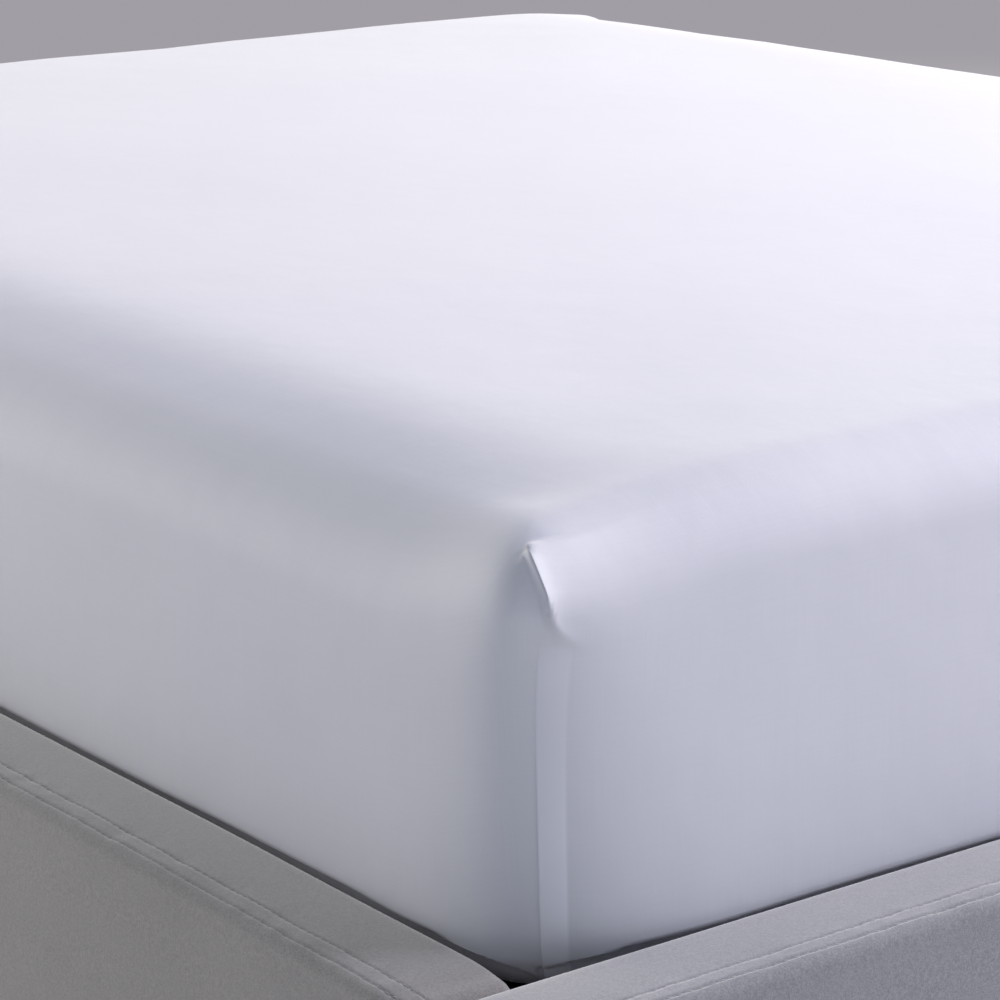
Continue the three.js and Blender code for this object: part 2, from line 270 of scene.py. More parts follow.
def side_points(on_long, s, row, tuck_top):
    """u, w, z of the skirt, and how far down the cloth they lie below the end of the rolled edge.
    Rows 0 to 1 go down the side, 1 to 2 round the bottom edge, 2 to 3 underneath."""
    middle = np.where(on_long, FLAT_HALF_Y, FLAT_HALF_X)
    r = roll_radius(on_long, s)
    u0, w0 = ring(on_long, s, middle, drawn_in(on_long, s, r), *PLAN_RIM)
    start = CLOTH_TOP - top_fall(u0, w0) - r
    t = min(row, 1)
    turn = min(max(row - 1, 0), 1) * QUARTER
    under = max(0, row - 2) * UNDER_TURN
    straight = (start - CLOTH_BOTTOM - BOTTOM_TURN) * t
    tuck = BOTTOM_TURN * (1 - math.cos(turn)) + under
    plan = [plan_rounding(t, rim, spread) for rim, spread in zip(PLAN_RIM, PLAN_SPREAD)]
    rounding = [max(r - PLAN_TIGHTENING * tuck, PLAN_LEAST) for r in plan]
    inset = drawn_in(on_long, s, r + straight) + tuck
    z = start - straight - BOTTOM_TURN * math.sin(turn)
    u, w = ring(on_long, s, middle, inset, *rounding)
    rounded_in = np.where(on_long, TUCK_SLANT[0] * u, TUCK_SLANT[1] * w)
    step_in = tucked(z, tuck_top - rounded_in) * (1 - TUCK_CORNER * bell(s / TUCK_CORNER_REACH))
    curl_in = CURL_IN * bell(s / np.where(on_long, *CURL_REACH))
    curl_in = curl_in * np.clip((CURL_TOP - z) / CURL_DROP, 0, CURL_LIMIT) ** 2
    u, w = ring(on_long, s, middle, inset + step_in + curl_in, *rounding)
    return u, w, z, straight + BOTTOM_TURN * turn + under


def upper_ridge(g):
    """Where the ear's ridge lies beside the corner between its tip and the head of the seam."""
    return lerp(EAR_TIP_SIDE, SEAM_TOP, np.clip((g - EAR_TIP) / (SEAM_HEAD - EAR_TIP), 0, 1))


def ear_ridge(g):
    """Where the ear's ridge lies beside the corner, g below the end of the rolled edge."""
    lower = EAR_DRIFT * np.clip((g - SEAM_HEAD) / (EAR_END - SEAM_HEAD), 0, 1) ** 2
    return upper_ridge(g) + lower


def ear_lift(s, g):
    """The ear's height at s beside the corner, positive on the short side."""
    q = s - ear_ridge(g)
    edge = EAR_TIP - EAR_FAN * np.maximum(q, 0)
    rise = smoothstep(g, edge - EAR_RISE, edge)
    dying = smoothstep(g, SEAM_HEAD, EAR_END)
    height = EAR_LIFT * rise * (1 - dying)
    left = lerp(EAR_CLIFF, EAR_SOFT, dying**2)
    left = left + EAR_TIP_SOFT * (1 - smoothstep(g - EAR_TIP, *EAR_TIP_REACH))
    past = np.maximum(q, 0)
    right = lerp(np.exp(-past / EAR_SLOPE), np.exp(-past / EAR_SPREAD), EAR_SPREAD_SHARE)
    ear = height * np.where(q < 0, bell(q / left), right)
    pull = PULL_LIFT * np.where(g < 0, bell(g / PULL_ABOVE), bell(g / PULL_BELOW))
    return ear + pull * np.where(s < 0, bell(s / PULL_LONG), np.exp(-np.maximum(s, 0) / PULL_SHORT))


# How much of the ear each corner has, by its side across and along. Sewn corners pucker unevenly.
PUCKERS = {(-1, -1): 1.0, (1, -1): 0.7, (-1, 1): 0.6, (1, 1): 0.05}

# ---------------------------------------------------------------- the cloth's grid

# Lines across the cloth, from the end of the rolled edge inwards. They stand close at the seam, so
# that it stays crisp, and at the softer end of its allowance.
CRISP = 0.5 * MM
BAND_SOFT = 1.3 * MM
BAND_END = SEAM_TOP + ALLOWANCE
NEAR = 52 * MM
GROWTH = 1.16
# The lines lean near the corner, so that one of them follows the ear's ridge and then the seam.
LEAN_REACH = 110 * MM
LEAN_FADE = 50 * MM

# Rows down the skirt: 0 to 1 down the side, close together beside the ear, 1 to 2 round the bottom
# edge, close together where the cloth steps in behind the rails, and 2 to 3 underneath.
FINE_SIDE_ROWS = [*np.linspace(0, 0.3, 32)[1:], *np.linspace(0.3, 0.86, 26)[1:], 0.9, 0.935, 0.96]
TUCK_ROWS = [0.975, 0.988, 1.0, 1.01, 1.02]
TURN_ROWS = [1.03, 1.04, 1.06, 1.09, 1.12, 1.15, 1.18, 1.22, 1.26, 1.3, 1.4, 1.6, 1.8, 2.0]
UNDER_ROWS = [2.3, 2.65, 3.0]


def cloth_lines(half):
    before = list(np.linspace(0, SEAM_TOP - 1.2 * MM, 7))
    seam = [SEAM_TOP - CRISP, SEAM_TOP, SEAM_TOP + CRISP]
    between = list(np.linspace(SEAM_TOP + 2 * MM, BAND_END - 2.5 * MM, 7))
    band_end = [BAND_END - BAND_SOFT, BAND_END, BAND_END + BAND_SOFT]
    after = list(np.linspace(BAND_END + 2.8 * MM, NEAR, 9))
    return before + seam + between + band_end + after + growing(NEAR, half * 0.97, 2.8 * MM, GROWTH)


def near_corner(d):
    """1 between the seam and the end of its allowance, falling to 0 on both sides."""
    after = 1 - (d - BAND_END) / (LEAN_REACH - BAND_END)
    return np.clip(np.minimum(d / SEAM_TOP, after), 0, 1)


def leaned(dx, dy):
    """dx moved so that the line at SEAM_TOP runs up the seam, and then up the ear's ridge to its tip."""
    past_tip = np.maximum(0, dy + EAR_TIP)
    to_ridge = upper_ridge(-dy) + np.minimum(dy, -EAR_TIP) - SEAM_TOP
    shift = to_ridge * (1 - smoothstep(past_tip, 0, LEAN_FADE))
    return dx + shift * near_corner(dx)


def drawn(s, row):
    """s moved so that the seam nears the corner towards the bottom of the short side."""
    return s + (SEAM_BOTTOM - SEAM_TOP) * min(row, 1) * near_corner(s)


def stretched_surface(lines_x, lines_y, rows, tuck_top):
    """The top panel's grid and closed loops down the skirt. It gives a dict of one value a point, and
    the quads of the top and of the skirt, facing out."""
    d_x = np.array(lines_x + [FLAT_HALF_X] + lines_x[::-1])
    d_y = np.array(lines_y + [FLAT_HALF_Y] + lines_y[::-1])
    side_x = np.array([-1] * len(lines_x) + [1] * (len(lines_x) + 1))
    side_y = np.array([-1] * len(lines_y) + [1] * (len(lines_y) + 1))
    sign_x, sign_y = (a.ravel() for a in np.meshgrid(side_x, side_y, indexing="ij"))
    line_x, line_y = (a.ravel() for a in np.meshgrid(d_x, d_y, indexing="ij"))

    pucker = np.array([PUCKERS[across, along] for across, along in zip(sign_x, sign_y)])
    flat_x = leaned(line_x, line_y)
    u, w, z = top_points(flat_x, line_y)
    layers = [
        {
            "x": sign_x * (HALF_WIDTH - u),
            "y": sign_y * (HALF_LENGTH - w),
            "z": z,
            "s": flat_x - line_y,
            "g": -np.minimum(flat_x, line_y),
            "line": np.where(line_x > line_y, line_x, 0),
            "pucker": pucker,
            "cut_x": sign_x * (FLAT_HALF_X - flat_x),
            "cut_y": sign_y * (FLAT_HALF_Y - line_y),
            "wrap_x": sign_x * (FLAT_HALF_X - flat_x),
            "wrap_y": sign_y * (FLAT_HALF_Y - line_y),
        }
    ]
    index = np.arange(len(d_x) * len(d_y)).reshape(len(d_x), len(d_y))
    corners = [index[:-1, :-1], index[1:, :-1], index[1:, 1:], index[:-1, 1:]]
    top_quads = np.stack(corners, -1).reshape(-1, 4)

    # Once round the rim, counter-clockwise seen from above.
    rim = np.concatenate([index[:-1, 0], index[-1, :-1], index[:0:-1, -1], index[0, :0:-1]])
    sx, sy = sign_x[rim], sign_y[rim]
    on_long = (line_x[rim] == 0) & (line_y[rim] > 0)
    line = np.where(on_long, 0, line_x[rim])
    loop, count, skirt_quads = rim, index.size, []
    for row in rows:
        s = np.where(on_long, line_y[rim], drawn(line_x[rim], row))
        u, w, z, down = side_points(on_long, s, row, tuck_top)
        beyond = np.where(on_long, s, -s)
        layers.append(
            {
                "x": sx * (HALF_WIDTH - u),
                "y": sy * (HALF_LENGTH - w),
                "z": z,
                "s": np.where(on_long, -s, s),
                "g": down,
                "line": line,
                "pucker": pucker[rim],
                "cut_x": sx * np.where(on_long, FLAT_HALF_X + down, FLAT_HALF_X - s),
                "cut_y": sy * np.where(on_long, FLAT_HALF_Y - s, FLAT_HALF_Y + down),
                "wrap_x": sx * (FLAT_HALF_X + down),
                "wrap_y": sy * (FLAT_HALF_Y - beyond),
            }
        )
        fresh = np.arange(count, count + len(rim))
        quads = [loop, fresh, np.roll(fresh, -1), np.roll(loop, -1)]
        skirt_quads.append(np.stack(quads, -1))
        loop, count = fresh, count + len(rim)
    surface = {key: np.concatenate([layer[key] for layer in layers]) for key in layers[0]}
    surface["hem"] = loop
    return surface, top_quads, np.concatenate(skirt_quads)


# ---------------------------------------------------------------- broad shapes of the filled cloth

# Slow unevenness of mattress and cloth: amplitude, wavelengths across, along and up, and phase.
UNEVEN = [
    (0.5 * MM, 0.62, 0.91, 0.55, 0.4),
    (0.4 * MM, 0.37, -0.58, 0.41, 2.1),
    (0.3 * MM, -0.29, 0.33, 0.27, 4.4),
    (0.25 * MM, 0.21, 0.17, -0.33, 1.2),
]


def unevenness(points):
    out = np.zeros(len(points))
    for amplitude, across, along, up, phase in UNEVEN:
        turns = points[:, 0] / across + points[:, 1] / along + points[:, 2] / up
        out += amplitude * np.cos(2 * math.pi * turns + phase)
    return out


def filled_points(surface, quads):
    """The points of the surface with its slow unevenness, and their normals."""
    points = np.stack([surface["x"], surface["y"], surface["z"]], -1)
    normals = vertex_normals(points, quads)
    points = points + normals * unevenness(points)[:, None]
    return points, vertex_normals(points, quads)


def cloth_details(surface):
    """The height of ear, seam and folded allowance at each point, and how much whiter the allowance is
    painted: partly doubled cloth, partly painted light that lifts the shade lower down.
    """
    g, line = surface["g"], surface["line"]
    places = [SEAM_TOP - CRISP, SEAM_TOP, SEAM_TOP + CRISP]
    groove = np.interp(line, places, [0, -SEAM_GROOVE, 0]) * smoothstep(g, SEAM_HEAD - 2 * MM, SEAM_HEAD)
    stops = [SEAM_TOP, SEAM_TOP + CRISP, BAND_END - BAND_SOFT, BAND_END + BAND_SOFT]
    share = smoothstep(g, *ALLOWANCE_FADE)
    taut = smoothstep(g, *ALLOWANCE_TAUT)
    # Painted whiter over the allowance, more lower down: partly doubled cloth, partly painted light against
    # the shade there.
    allowance_white_and_painted_light = np.interp(line, stops, [0, 1, 1, 0]) * share * lerp(ALLOWANCE_FAINT, 1, taut)
    ridge = lerp(ALLOWANCE_PROUD, ALLOWANCE_RIDGE, taut)
    proud = np.interp(line, stops, [0, 1, ALLOWANCE_PROUD / ALLOWANCE_RIDGE, 0]) * share * ridge
    return ear_lift(surface["s"], g) * surface["pucker"] + groove + proud, allowance_white_and_painted_light


# ---------------------------------------------------------------- materials


def principled(name, colour, roughness, specular=0.5, sheen=0.0, sheen_roughness=0.5):
    material = bpy.data.materials.new(name)
    material.use_nodes = True
    material.diffuse_color = (*colour, 1)
    shader = material.node_tree.nodes["Principled BSDF"]
    shader.inputs["Base Color"].default_value = (*colour, 1)
    shader.inputs["Roughness"].default_value = roughness
    shader.inputs["Specular IOR Level"].default_value = specular
    shader.inputs["Sheen Weight"].default_value = sheen
    shader.inputs["Sheen Roughness"].default_value = sheen_roughness
    return material, shader


def node(material, kind, inputs=None, **settings):
    made = material.node_tree.nodes.new(kind)
    for key, value in settings.items():
        setattr(made, key, value)
    for key, value in (inputs or {}).items():
        if isinstance(value, bpy.types.NodeSocket):
            material.node_tree.links.new(value, made.inputs[key])
        else:
            made.inputs[key].default_value = value
    return made


def math_node(material, operation, a, b=0.0, clamp=False):
    return node(material, "ShaderNodeMath", {0: a, 1: b}, operation=operation, use_clamp=clamp).outputs[0]


def noise(material, vector, scale, detail=2.0, stretch=(1, 1, 1), roughness=0.5):
    """Noise of scale cells a metre, with its cells stretched."""
    scales = [scale / k for k in stretch]
    squeezed = node(material, "ShaderNodeMapping", {"Vector": vector, "Scale": scales})
    inputs = {"Vector": squeezed.outputs[0], "Scale": 1.0, "Detail": detail, "Roughness": roughness}
    return node(material, "ShaderNodeTexNoise", inputs).outputs["Fac"]


def ramp(material, factor, low, high, dark, light):
    """A colour from dark to light as factor goes from low to high."""
    share = node(material, "ShaderNodeMapRange", {"Value": factor, "From Min": low, "From Max": high})
    mixed = node(material, "ShaderNodeMix", {"Factor": share.outputs[0]}, data_type="RGBA")
    mixed.inputs[6].default_value = (*dark, 1)
    mixed.inputs[7].default_value = (*light, 1)
    return mixed.outputs[2]


def bump(material, height, distance, after=None):
    """Bumps whose full height is distance, on top of the normal after."""
    inputs = {"Height": height, "Distance": distance, "Strength": 1.0}
    if after is not None:
        inputs["Normal"] = after
    return node(material, "ShaderNodeBump", inputs).outputs[0]


def scaled(colour, share):
    return tuple(channel * share for channel in colour)


CLOTH_WHITE = (0.83, 0.84, 0.905)
# Cloth over its folded allowance is painted whiter: partly as doubled cloth lets less show through,
# # and partly painted light, strongest lower down, where it lifts the shade near the rails.
DOUBLED_AND_PAINTED_WHITER = 1.17
YARN = 0.5 * MM


def cloth_material():
    """Smooth white microfibre: a fine weave, faint slubs along the yarns, and a slight satin sheen."""
    material, shader = principled("cloth", CLOTH_WHITE, 0.62, 0.35, sheen=0.25, sheen_roughness=0.45)
    cut = node(material, "ShaderNodeUVMap", uv_map="cut").outputs[0]
    place = node(material, "ShaderNodeTexCoord").outputs["Object"]

    split = node(material, "ShaderNodeSeparateXYZ", {0: cut})
    turn = 2 * math.pi / YARN
    warp = math_node(material, "SINE", math_node(material, "MULTIPLY", split.outputs[0], turn))
    weft = math_node(material, "SINE", math_node(material, "MULTIPLY", split.outputs[1], turn))
    weave = math_node(material, "MULTIPLY", warp, weft)
    slub_x = noise(material, cut, 700, 2, (1, 60, 1))
    slub_y = noise(material, cut, 700, 2, (60, 1, 1))
    slubs = math_node(material, "ADD", slub_x, slub_y)
    slack = noise(material, place, 14, 3)

    layers = node(material, "ShaderNodeAttribute", attribute_name="layers").outputs["Fac"]
    tone = math_node(material, "MULTIPLY", slubs, 0.5)
    base = ramp(material, tone, 0.3, 0.7, scaled(CLOTH_WHITE, 0.985), scaled(CLOTH_WHITE, 1.015))
    # Mixed whiter over the allowance: partly doubled cloth, partly painted light against the shade lower
    # down.
    whiter_allowance_mix = node(material, "ShaderNodeMix", {"Factor": layers, 6: base}, data_type="RGBA")
    whiter_allowance_mix.inputs[7].default_value = (*scaled(CLOTH_WHITE, DOUBLED_AND_PAINTED_WHITER), 1)
    material.node_tree.links.new(whiter_allowance_mix.outputs[2], shader.inputs["Base Color"])

    normal = bump(material, slack, 1.2 * MM)
    normal = bump(material, slubs, 0.03 * MM, normal)
    normal = bump(material, weave, 0.008 * MM, normal)
    material.node_tree.links.new(normal, shader.inputs["Normal"])
    return material


def felt_material(name, grey):
    """Grey napped felt: speckled fibres, soft blotches where the nap lies differently."""
    material, shader = principled(name, grey, 0.95, 0.2, sheen=1.0, sheen_roughness=0.42)
    place = node(material, "ShaderNodeTexCoord").outputs["Object"]
    fibres = noise(material, place, 800, 3)
    clumps = noise(material, place, 300, 2)
    blotches = noise(material, place, 7, 3)
    grain = math_node(material, "ADD", fibres, math_node(material, "MULTIPLY", clumps, 0.35))
    grain = math_node(material, "ADD", grain, math_node(material, "MULTIPLY", blotches, 0.3))
    colour = ramp(material, grain, 0.6, 1.05, scaled(grey, 0.8), scaled(grey, 1.2))
    material.node_tree.links.new(colour, shader.inputs["Base Color"])
    normal = bump(material, clumps, 0.08 * MM)
    normal = bump(material, fibres, 0.12 * MM, normal)
    material.node_tree.links.new(normal, shader.inputs["Normal"])
    return material


def ticking_material():
    """Plain mattress ticking: an off-white twill."""
    white = (0.72, 0.7, 0.66)
    material, shader = principled("ticking", white, 0.85, 0.3, sheen=0.2)
    place = node(material, "ShaderNodeTexCoord").outputs["Object"]
    tone = noise(material, place, 300, 3)
    colour = ramp(material, tone, 0.35, 0.65, scaled(white, 0.94), scaled(white, 1.04))
    material.node_tree.links.new(colour, shader.inputs["Base Color"])
    twill = node(material, "ShaderNodeTexWave", {"Vector": place, "Scale": 180}, bands_direction="DIAGONAL")
    material.node_tree.links.new(bump(material, twill.outputs["Fac"], 0.15 * MM), shader.inputs["Normal"])
    return material


def wood_material():
    """Planed boards painted near black, as painted shade for the dark gap round the mattress: long grain in
    lighter and darker rings.
    """
    # Near black: painted shade for the gap round the mattress.
    light = (0.035, 0.027, 0.022)
    material, shader = principled("wood", light, 0.55, 0.4)
    place = node(material, "ShaderNodeTexCoord").outputs["Object"]
    figure = noise(material, place, 30, 4, (1, 14, 1))
    pores = noise(material, place, 900, 2, (1, 40, 1))
    grain = math_node(material, "ADD", figure, math_node(material, "MULTIPLY", pores, 0.25))
    colour = ramp(material, grain, 0.45, 0.8, scaled(light, 0.7), scaled(light, 1.15))
    material.node_tree.links.new(colour, shader.inputs["Base Color"])
    material.node_tree.links.new(bump(material, grain, 0.2 * MM), shader.inputs["Normal"])
    return material


def thread_material():
    """Sewing thread, a shade lighter than the felt."""
    grey = (0.42, 0.415, 0.42)
    material, shader = principled("thread", grey, 0.6, 0.35, sheen=0.2)
    place = node(material, "ShaderNodeTexCoord").outputs["Object"]
    ply = noise(material, place, 1500, 1)
    colour = ramp(material, ply, 0.35, 0.65, scaled(grey, 0.85), scaled(grey, 1.12))
    material.node_tree.links.new(colour, shader.inputs["Base Color"])
    return material


cloth_finish = cloth_material()
# Two copies of one felt, as painted light and shade: lighter and cooler across the bed, where it is lit,
# and darker and warmer along it, where the mattress shades it.
felt_shaded_copy = felt_material("felt_shaded_copy", (0.322, 0.308, 0.3))
felt_lit_copy = felt_material("felt_lit_copy", (0.325, 0.33, 0.35))
ticking_finish = ticking_material()
wood_painted_shade = wood_material()
thread_finish = thread_material()


# ---------------------------------------------------------------- the protector


def build_protector():
    rows = [*FINE_SIDE_ROWS, *TUCK_ROWS, *TURN_ROWS, *UNDER_ROWS]
    lines_x, lines_y = cloth_lines(FLAT_HALF_X), cloth_lines(FLAT_HALF_Y)
    surface, top_quads, skirt_quads = stretched_surface(lines_x, lines_y, rows, TUCK_TOP)
    quads = np.concatenate([top_quads, skirt_quads])
    base, normals = filled_points(surface, quads)
    lift, allowance_white_and_painted_light = cloth_details(surface)
    outer = base + normals * lift[:, None]
    inner = outer - normals * CLOTH_THICK
    count = len(outer)
    hem = surface["hem"]
    rim_quads = np.stack([np.roll(hem, -1), hem, hem + count, np.roll(hem, -1) + count], -1)
    faces = np.concatenate([quads, quads[:, ::-1] + count, rim_quads])
    piece = new_object("protector_cloth", np.concatenate([outer, inner]), faces, cloth_finish)

    # The long panels wrap round the corners as far as the seam, so their cut coordinates go on there.
    wraps = np.zeros(len(quads), bool)
    lines = surface["line"][quads]
    wraps[len(top_quads):] = (lines[len(top_quads):] <= SEAM_TOP + 1e-9).all(1)
    cut = np.stack([surface["cut_x"], surface["cut_y"]], -1)
    wrap = np.stack([surface["wrap_x"], surface["wrap_y"]], -1)
    outer_uv = np.where(wraps[:, None, None], wrap[quads], cut[quads])
    rim_uv = cut[rim_quads % count]
    uv = np.concatenate([outer_uv.reshape(-1, 2), outer_uv[:, ::-1].reshape(-1, 2), rim_uv.reshape(-1, 2)])
    layer = piece.data.uv_layers.new(name="cut")
    layer.data.foreach_set("uv", uv.astype(np.float32).ravel())
    attribute = piece.data.attributes.new("layers", "FLOAT", "POINT")
    attribute.data.foreach_set("value", np.tile(allowance_white_and_painted_light, 2).astype(np.float32))
    return piece


def build_mattress():
    lines_x = [0, 6 * MM, 12 * MM, 20 * MM, 30 * MM, *growing(30 * MM, FLAT_HALF_X * 0.93, 12 * MM, 1.3)]
    lines_y = [0, 6 * MM, 12 * MM, 20 * MM, 30 * MM, *growing(30 * MM, FLAT_HALF_Y * 0.93, 12 * MM, 1.3)]
    rows = [*np.linspace(0, 0.93, 14)[1:], 0.945, 0.955, 0.965, 0.975, 1.0, *TURN_ROWS]
    tuck_top = TUCK_TOP + 6 * MM
    surface, top_quads, skirt_quads = stretched_surface(lines_x, lines_y, rows, tuck_top)
    quads = np.concatenate([top_quads, skirt_quads])
    base, normals = filled_points(surface, quads)
    points = base - normals * MATTRESS_INSET
    points[:, 2] = np.maximum(points[:, 2], mattress_low.z)
    points[surface["hem"], 2] = mattress_low.z
    faces = quads.tolist() + [surface["hem"][::-1].tolist()]
    return new_object("mattress_ticking", points, faces, ticking_finish)


protector = build_protector()
mattress = build_mattress()

# ---------------------------------------------------------------- the upholstered rails

RAIL_BOTTOM_ROUND = 4 * MM
RAIL_INNER_ROUND = 8 * MM
RAIL_OUTER_ROUND = 8 * MM
RAIL_END_ROUND = 13 * MM
# The rim is crowned, highest at a share of the way across.
RAIL_CROWN = 1.2 * MM
RAIL_CROWN_AT = 0.4
RAIL_CROWN_HALF = 0.35
RAIL_FACE_BULGE = 3 * MM
# The padding swells unevenly along a rail, less so near its top.
RAIL_SWELL = 0.7 * MM
RAIL_SWELL_CALM = 0.4
RAIL_SWELL_DEPTH = 60 * MM
# A rail is padded to its ends, where it dips.
END_DIP = 4 * MM
END_DIP_REACH = 26 * MM
END_DIP_DRAW = 0.3
# The welt lies between two sewn lines along the rim, in grooves that pucker and wander a little.
WELT_INNER = 57.5 * MM
WELT_OUTER = 70.5 * MM
WELT_PROUD = 0.5 * MM
WELT_FULLNESS = 1.35
WELT_GROOVE = 0.7 * MM
GROOVE_HALF = 1.1 * MM
PUCKER = 0.5 * MM
PUCKER_HALF = 5 * MM
WANDER = 0.7 * MM
WANDER_HALF = 18 * MM
STATION = 5 * MM


class Rail:
    """One rail as a frame of its own: across from its inner face, along it, and up from the floor."""

    def __init__(self, node_name, inner, across, along, seed):
        low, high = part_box(node_name)
        self.node_name = node_name
        self.across, self.along = Vector(across), Vector(along)
        self.inner = inner
        self.height = high.z
        size = high - low
        self.length = abs(size.dot(self.along))
        self.thick = abs(size.dot(self.across))
        self.rng = np.random.default_rng(seed)
        self.wander = smooth_noise(self.rng, self.length, 45 * MM)
        self.pucker_inner = smooth_noise(self.rng, self.length, 13 * MM)
        self.pucker_outer = smooth_noise(self.rng, self.length, 11 * MM)
        self.swell = smooth_noise(self.rng, self.length, 160 * MM)

    def world(self, a, y, z):
        """Points at a across, y along from one end, z up."""
        start = self.across * self.inner - self.along * (self.length / 2)
        across, along = np.array(self.across), np.array(self.along)
        return np.array(start) + np.outer(a, across) + np.outer(y, along) + np.outer(z, (0, 0, 1))

    def faces_out(self):
        return self.across.cross(self.along).z > 0


def smooth_noise(rng, length, cell):
    """A smooth random line along length, within 1 either way, with one knot a cell."""
    count = int(length / cell) + 4
    knots = rng.uniform(-1, 1, count)

    def at(y):
        place = np.clip(np.asarray(y) / cell, 0, count - 2)
        low = np.floor(place).astype(int)
        t = place - low
        return lerp(knots[low], knots[low + 1], t * t * (3 - 2 * t))

    return at


def arc(centre_a, centre_z, radius, start, end, steps):
    """Points of a round corner: across, height and the direction out."""
    ways_out = [(math.cos(t), math.sin(t)) for t in np.radians(np.linspace(start, end, steps))]
    return [(centre_a + radius * a, centre_z + radius * z, a, z) for a, z in ways_out]


def rail_outline(thick, height):
    """A rail's section from its inner foot up, over and down: across, height, and the direction out.
    Its points stand close where the welt is sewn."""
    around_line = [-3.6, -2.2, -1.2, -0.6, 0, 0.6, 1.2, 2.2]
    flat = [13 * MM, 21 * MM, 30 * MM, 40 * MM, 49 * MM, WELT_INNER + 4 * MM, WELT_INNER + 6.5 * MM]
    flat += [line + k * MM for line in (WELT_INNER, WELT_OUTER) for k in around_line]
    inner, outer, foot = RAIL_INNER_ROUND, RAIL_OUTER_ROUND, RAIL_BOTTOM_ROUND
    face_heights = np.linspace(foot, height - outer, 14)
    inner_heights = np.linspace(foot, height - inner, 10)
    points = [(0, z, -1, 0) for z in inner_heights[:-1]]
    points += arc(inner, height - inner, inner, 180, 90, 6)
    points += [(a, height, 0, 1) for a in sorted(flat) if inner < a < thick - outer + 1 * MM]
    points += arc(thick - outer, height - outer, outer, 82, 0, 8)
    points += [(thick, z, 1, 0) for z in face_heights[::-1][1:]]
    points += arc(thick - foot, foot, foot, -30, -90, 3)
    points += [(thick * k, 0, 0, -1) for k in (0.7, 0.3)]
    points += arc(foot, foot, foot, 270, 210, 3)
    return np.array(points)


def rail_surface(rail, outline, y):
    """The padded, sewn surface of one rail at the station y: across and height of each point."""
    a, z, out_a, out_z = outline.T
    top = np.maximum(out_z, 0)
    line_shift = WANDER * rail.wander(y)
    lift = RAIL_CROWN * bell((a / rail.thick - RAIL_CROWN_AT) / RAIL_CROWN_HALF) * top
    on_face = np.abs(out_a) * (a > rail.thick / 2)
    lift = lift + RAIL_FACE_BULGE * on_face * np.sin(math.pi * np.clip(z / rail.height, 0, 1))
    calmer = 1 - RAIL_SWELL_CALM * bell((z - rail.height) / RAIL_SWELL_DEPTH)
    lift = lift + RAIL_SWELL * rail.swell(y) * calmer * np.maximum(out_z + np.abs(out_a), 0)
    middle = (WELT_INNER + WELT_OUTER) / 2
    half = (WELT_OUTER - WELT_INNER) / 2
    flat_topped = np.clip(WELT_FULLNESS - ((a - middle) / half) ** 2, 0, 1)
    welt = WELT_PROUD * flat_topped * (np.abs(a - middle) < half)
    for place, pucker in ((WELT_INNER, rail.pucker_inner), (WELT_OUTER, rail.pucker_outer)):
        near = (a - place) / GROOVE_HALF
        welt = welt - WELT_GROOVE * bell(near)
        welt = welt + PUCKER * pucker(y) * bell((a - place) / PUCKER_HALF)
    lift = lift + welt * (out_z > 0.5)
    shifted = a + line_shift * bell((a - middle) / WANDER_HALF) * (out_z > 0.5)
    return shifted + out_a * lift, z + out_z * lift


def rail_stations(length):
    """Where the sections stand along a rail, and how far each is drawn in."""
    angles = np.linspace(0, QUARTER, 6)
    start = [(RAIL_END_ROUND * (1 - math.cos(t)), RAIL_END_ROUND * (1 - math.sin(t))) for t in angles]
    run = length - 2 * RAIL_END_ROUND
    count = round(run / STATION)
    middle = [(RAIL_END_ROUND + run * k / count, 0) for k in range(1, count)]
    return start + middle + [(length - y, shrink) for y, shrink in start[::-1]]


def build_rail(rail):
    outline = rail_outline(rail.thick, rail.height)
    count = len(outline)
    stations = rail_stations(rail.length)
    inside = [(stations[0][0], RAIL_END_ROUND + k * MM) for k in (12, 4)]
    outside = [(stations[-1][0], RAIL_END_ROUND + k * MM) for k in (4, 12)]
    points = []
    for y, shrink in inside + stations + outside:
        a, z = rail_surface(rail, outline, y)
        from_end = min(y, rail.length - y)
        dip = END_DIP * math.exp(-((from_end / END_DIP_REACH) ** 2))
        draw = shrink + END_DIP_DRAW * dip
        a = rail.thick / 2 + (a - rail.thick / 2) * (1 - draw / (rail.thick / 2))
        z = z * (1 - (shrink + dip) / rail.height)
        points.append(rail.world(a, np.full(count, y), z))
    rows = len(points)
    index = np.arange(rows * count).reshape(rows, count)
    following = np.roll(index, -1, axis=1)
    quads = np.stack([index[:-1], following[:-1], following[1:], index[1:]], -1).reshape(-1, 4)
    faces = quads.tolist() + [index[0][::-1].tolist(), index[-1].tolist()]
    if not rail.faces_out():
        faces = [face[::-1] for face in faces]
    # Painted light and shade: rails across the bed take the lighter, cooler felt, those along it the
    # darker, warmer one.
    felt = felt_lit_copy if rail.along.x else felt_shaded_copy
    return new_object(rail.node_name + "_cover", np.concatenate(points), faces, felt)


STITCH = 5.6 * MM
STITCH_PITCH = 8 * MM
THREAD = 0.45 * MM
THREAD_SIDES = 6


